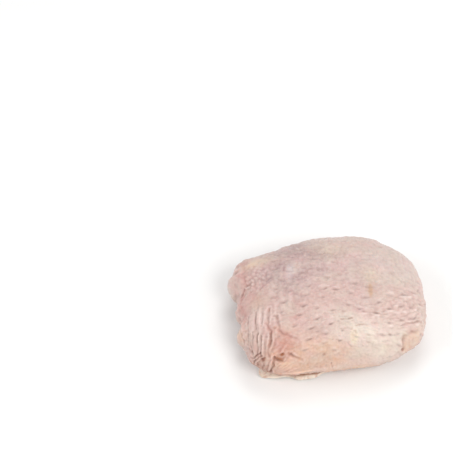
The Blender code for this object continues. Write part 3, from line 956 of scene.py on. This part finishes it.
def stained_material(name, speckles, low_tone, high_tone, stains, finish, grain=None):
    """A material with the finish's values. Its colour runs from the low to the high tone by
    the cloudy speckle; the stains are mixed over it in order, each by a speckle or by the
    painted amount of that name. A grain is the speckle, strength and depth of fine bumps."""
    material = bpy.data.materials.new(name)
    material.use_nodes = True
    tree = material.node_tree
    where = add_node(tree, "ShaderNodeTexCoord").outputs["Object"]
    spread = {key: speckle(tree, where, *sizes) for key, sizes in speckles.items()}
    tones = {0: spread["cloudy"], 6: (*low_tone, 1.0), 7: (*high_tone, 1.0)}
    colour = add_node(tree, "ShaderNodeMix", tones, data_type="RGBA").outputs[2]
    for key, strength, stain_colour, *breaks in stains:
        if key in spread:
            amount = spread[key]
        else:
            amount = add_node(tree, "ShaderNodeAttribute", attribute_name=key).outputs["Fac"]
        colour = stain(tree, colour, stain_colour, amount, strength, *[spread[each] for each in breaks])
    shader = tree.nodes["Principled BSDF"]
    set_sockets(tree, shader, {"Base Color": colour, **finish})
    if grain is not None:
        key, strength, depth = grain
        bump_sockets = {"Height": spread[key], "Strength": strength, "Distance": depth}
        bump = add_node(tree, "ShaderNodeBump", bump_sockets)
        set_sockets(tree, shader, {"Normal": bump.outputs["Normal"]})
    return material


# speckles: scale, detail, the noise that becomes 0 and 1, and a shift if any
skin_speckles = {
    "cloudy": (60.0, 3.0, 0.35, 0.65),
    "rosy": (130.0, 3.0, 0.46, 0.66),
    "patchy": (210.0, 4.0, 0.36, 0.66),
    "grainy": (620.0, 3.0, 0.34, 0.66),
    "sallow": (95.0, 4.0, 0.47, 0.66, (0.3, 0.7, 0.1)),
}
skin_low_tone = (0.560, 0.388, 0.342)
skin_high_tone = (0.620, 0.455, 0.407)
# stains from the lowest up: painted amount or speckle, strength, colour, and the speckle
# that breaks it up, if any
skin_stains = (
    ("grey", 0.85, (0.670, 0.590, 0.540)),
    ("cream", 0.90, (0.780, 0.700, 0.605)),
    ("blush", 0.90, (0.620, 0.330, 0.305), "cloudy"),
    ("mauve", 0.90, (0.365, 0.240, 0.250)),
    ("peach", 0.90, (0.725, 0.485, 0.325)),
    ("amber", 0.90, (0.610, 0.275, 0.170)),
    ("rosy", 0.45, (0.680, 0.430, 0.425)),
    ("sallow", 0.45, (0.620, 0.550, 0.460)),
    ("bluish", 0.60, (0.590, 0.510, 0.530)),
    ("yellow", 0.78, (0.800, 0.700, 0.490)),
    ("patchy", 0.32, (0.520, 0.330, 0.300)),
    ("grainy", 0.32, (0.760, 0.630, 0.560)),
    ("rose", 0.50, (0.560, 0.240, 0.210)),
    # painted highlights on mounds, knobs, crests, crease shoulders and edges
    ("pale", 0.42, (0.800, 0.650, 0.605)),
    ("tan", 0.80, (0.545, 0.340, 0.225)),
    # painted glints on knobs and pleat tops
    ("glint", 0.45, (0.930, 0.790, 0.740)),
    # painted highlight on the lip of the hem over the flap of fat
    ("painted_lip_highlight", 0.85, (1.000, 0.660, 0.490)),
    # painted shade in the follicle pits, under the knobs and in hollows
    ("painted_shade", 0.80, (0.360, 0.245, 0.225)),
    # painted shade in the creases and at the lower edges
    ("painted_crease_shade", 0.75, (0.360, 0.185, 0.145)),
    ("browned", 0.80, (0.270, 0.105, 0.065)),
    ("glow", 0.38, (0.900, 0.500, 0.310)),
    ("rust", 0.90, (0.350, 0.125, 0.050)),
)
skin_finish = {
    "Roughness": 0.44,
    "Specular IOR Level": 0.3,
    "Subsurface Weight": 0.12,
    "Subsurface Radius": (1.0, 0.45, 0.3),
    "Subsurface Scale": 0.002,
    "Coat Weight": 0.20,
    "Coat Roughness": 0.24,
}
skin_grain = ("grainy", 0.35, 0.0004)
skin_paint = stained_material(
    "raw skin", skin_speckles, skin_low_tone, skin_high_tone, skin_stains, skin_finish, skin_grain
)
skin_mesh.materials.append(skin_paint)

skin = bpy.data.objects.new("raw_skin", skin_mesh)
bpy.context.scene.collection.objects.link(skin)
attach(skin, "root")
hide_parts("skin")


# ---------------------------------------------------------------------------------------
# Meat. The muscle that the skin is wrapped round, with its pale fat. It shows on the
# underside and in a narrow band below the hem, where the fat stands out in a broad flap at
# the front left and a tongue at the left end. It rests on its flat side, crossed by seams.
# ---------------------------------------------------------------------------------------
skin_to_meat_gap = 0.6
# where the skin is gathered the meat lies deeper: bearing, half width of the bearing, depth
gathered_depth = (-176.0, 26.0, 1.3)
# the flap and the tongue of fat: bearing, half width of the bearing, how far they stand out
fat_flaps = ((-118.0, 26.0, 7.9), (-135.5, 8.0, 8.2))
# past the hem: where the meat steps out and over what length, the middle and half width of
# the fat, and where the underside starts and over what length
step_start = 0.7
step_length = 3.5
fat_middle = 6.5
fat_half_width = 4.3
under_start = 6.0
under_length = 6.0
# past the hem too: the middle and half width of the fat's lobules and of the fat on the rim,
# and the painted shadow under the hem: bearing, half width of the bearing, middle, half width
fat_tip_middle = 6.0
fat_tip_half_width = 3.0
rim_fat_middle = 3.5
rim_fat_half_width = 3.0
hem_shadow_place = (-110.0, 15.0, 3.5, 0.25)
# how far the meat sinks past the hem, and heights on the fat and on the underside
sink = 1.6
fat_swell = 0.8
lobule_height = 1.3
lobule_reach = 0.9
fibre_height = 0.14
lump_height = 0.35
# seams between the muscles: depth, half width, line
meat_seams = (
    (1.5, 3.6, ((-34.0, 6.0), (-16.0, 12.0), (4.0, 9.0), (30.0, 16.0))),
    (1.2, 3.4, ((-8.0, 10.0), (-12.0, -8.0), (-24.0, -22.0))),
)
# darker muscle on the underside: share, middle, half length, half width, turn
purple_ovals = (
    (1.0, (-12.0, -16.0), 20.0, 12.0, 15.0),
    (0.8, (26.0, 6.0), 16.0, 9.0, -20.0),
)
# rows of points: a few under the skin, then many from just inside its hem to the middle of
# the underside, closest together at the hem
meat_segments = 480
covered_rows = 12
open_rows = 149
meat_bearing = np.linspace(-math.pi, math.pi, meat_segments, endpoint=False)
meat_hem = hem_reach(meat_bearing)
covered = np.linspace(0.08, 0.94, covered_rows)[:, None] * meat_hem
open_start = meat_hem * 0.96
open_end = arc[-1] - 0.3
open_share = np.linspace(0.0, 1.0, open_rows, endpoint=False)[:, None] ** 1.25
meat_walk = np.concatenate((covered, open_start + (open_end - open_start) * open_share))
meat_turn = np.broadcast_to(meat_bearing, meat_walk.shape)


def meat_surface(walk, turn):
    """The smooth thigh drawn in by the skin, the gap and the gathered folds. Past the hem it
    steps out flush, sinks to the flat side, and bulges in lobules where the fat lies. Seams
    and fibres then stand in from the resting side, so nothing goes below the floor. Returns
    the points and the amount of each colour."""
    hem = hem_reach(turn)
    past = walk - hem
    middle, half_width, deeper = gathered_depth
    drawn = bell(turn, middle, half_width) * smooth_step(walk / hem * 2.0 - 1.0)
    depth = skin_thickness + skin_to_meat_gap + deeper * drawn
    depth = depth * (1.0 - smooth_step((past - step_start) / step_length))
    p = walk * np.cos(turn)
    q = walk * np.sin(turn)
    points = body(p, q) - outward(p, q) * depth[..., None]
    x, y, z = np.moveaxis(points, -1, 0)

    fat = sum(reach * bell(turn, middle, half_width) for middle, half_width, reach in fat_flaps)
    in_fat = smooth_step((fat - 0.5) / 3.5)
    fat = fat * np.exp(-(((past - fat_middle) / fat_half_width) ** 4)) * smooth_step((past - 1.2) / 4.0)
    fat = fat * (1.0 + 0.05 * np.sin(turn * 31.0) + 0.05 * drift(turn * 13.0, walk * 0.0, 58))
    x += fat * np.cos(turn)
    y += fat * np.sin(turn)
    z -= sink * smooth_step((past - step_start) / 5.0)
    fat_tip = in_fat * np.exp(-(((past - fat_tip_middle) / fat_tip_half_width) ** 2))
    swell = 0.5 + 0.8 * drift(x / 5.0, y / 3.0, 56)
    lobules = pebbles(x / 2.3, y / 1.8 + walk / 2.4, 57) - mound_level
    z += (fat_swell * swell + lobule_height * lobules) * fat_tip
    x += lobule_reach * lobules * fat_tip * np.cos(turn)
    y += lobule_reach * lobules * fat_tip * np.sin(turn)
    np.maximum(z, 0.0, out=z)

    under = smooth_step((past - under_start) / under_length)
    seam = np.zeros(walk.shape)
    for deep, half_width, line in meat_seams:
        gap = line_distance(x + middle_x, y + middle_y, line)
        groove = np.exp(-((gap / half_width) ** 2))
        seam = np.maximum(seam, groove)
        z += deep * under * groove * (gap < 2.2 * half_width)
    bent = y - 0.12 * x + 4.0 * drift(x / 22.0, y / 16.0, 51)
    fibre = 0.5 + 0.35 * drift(x / 7.0, bent / 0.9, 52) + 0.25 * drift(x / 3.5, bent / 0.5 + 9.0, 55)
    fibre = np.clip(fibre, 0.0, 1.0)
    lump = np.clip(0.5 + 0.5 * drift(x / 7.0, y / 5.0, 53), 0.0, 1.0)
    z += (fibre_height * fibre + lump_height * lump) * under

    shown = smooth_step((past - 1.0) / 3.0)
    in_fat = in_fat * shown * smooth_step((14.0 - past) / 8.0)
    rim_fat = np.clip(0.5 + 0.9 * drift(turn * 7.0, walk / 5.0, 54), 0.0, 1.0)
    rim_fat = rim_fat * np.exp(-(((past - rim_fat_middle) / rim_fat_half_width) ** 2))
    # painted shadow in the gap under the skin's hem, over the flap of fat
    hem_shadow_bearing, hem_shadow_spread, hem_shadow_middle, hem_shadow_half_width = hem_shadow_place
    painted_hem_shadow = smooth_step(2.0 * bell(turn, hem_shadow_bearing, hem_shadow_spread))
    painted_hem_shadow = painted_hem_shadow * np.exp(-(((past - hem_shadow_middle) / hem_shadow_half_width) ** 2))
    amounts = {
        "seam": seam * under,
        "fibre": fibre * shown,
        "fat": in_fat,
        "painted_hem_shadow": painted_hem_shadow,
        "rim_fat": rim_fat * (1.0 - in_fat),
        "between": np.clip(-8.0 * lobules - 0.2, 0.0, 1.0) * in_fat,
        "purple": with_ovals(x, y, 0.0, purple_ovals),
    }
    return points, amounts


meat_points, meat_amounts = meat_surface(meat_walk, meat_turn)
grid = np.arange(meat_walk.size).reshape(meat_walk.shape)
grid = np.concatenate((grid, grid[:, :1]), axis=1)
top_point = np.array([[-middle_x, -middle_y, top_height - skin_thickness - skin_to_meat_gap]])
low_point = meat_points[-1].mean(axis=0, keepdims=True)
all_points = np.concatenate((meat_points.reshape(-1, 3), top_point, low_point))
top_number = np.full(meat_segments, len(all_points) - 2)
low_number = np.full(meat_segments, len(all_points) - 1)
top_fan = np.stack((top_number, grid[0, :-1], grid[0, 1:]), axis=-1)
low_fan = np.stack((low_number, grid[-1, 1:], grid[-1, :-1]), axis=-1)
meat_fan = np.concatenate((top_fan, low_fan))
meat_mesh = closed_mesh("meat", all_points, quad_faces(grid)[:, ::-1], meat_fan)
for name, amount in meat_amounts.items():
    paint_amount(meat_mesh, name, amount)

meat_speckles = {
    "cloudy": (45.0, 3.0, 0.35, 0.65),
    "streaky": (260.0, 4.0, 0.38, 0.64),
    "veiled": (38.0, 5.0, 0.50, 0.68),
}
meat_low_tone = (0.560, 0.235, 0.205)
meat_high_tone = (0.670, 0.345, 0.290)
# stains from the lowest up, as on the skin
meat_stains = (
    ("fibre", 0.35, (0.720, 0.430, 0.370)),
    ("purple", 0.45, (0.360, 0.110, 0.120), "cloudy"),
    ("veiled", 0.45, (0.740, 0.560, 0.530)),
    ("streaky", 0.20, (0.500, 0.190, 0.170)),
    ("seam", 0.70, (0.790, 0.650, 0.520), "streaky"),
    ("rim_fat", 0.75, (0.800, 0.650, 0.500)),
    ("fat", 0.97, (0.850, 0.750, 0.640)),
    ("between", 0.75, (0.610, 0.420, 0.330)),
    ("streaky", 0.14, (0.600, 0.380, 0.290)),
    # painted shadow under the skin's hem
    ("painted_hem_shadow", 0.95, (0.330, 0.140, 0.070)),
)
meat_finish = {
    "Roughness": 0.38,
    "Subsurface Weight": 0.12,
    "Subsurface Radius": (1.0, 0.35, 0.25),
    "Subsurface Scale": 0.002,
    "Coat Weight": 0.15,
    "Coat Roughness": 0.2,
}
meat_paint = stained_material(
    "raw meat", meat_speckles, meat_low_tone, meat_high_tone, meat_stains, meat_finish
)
meat_mesh.materials.append(meat_paint)

meat = bpy.data.objects.new("raw_meat", meat_mesh)
bpy.context.scene.collection.objects.link(meat)
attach(meat, "root")
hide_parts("meat")
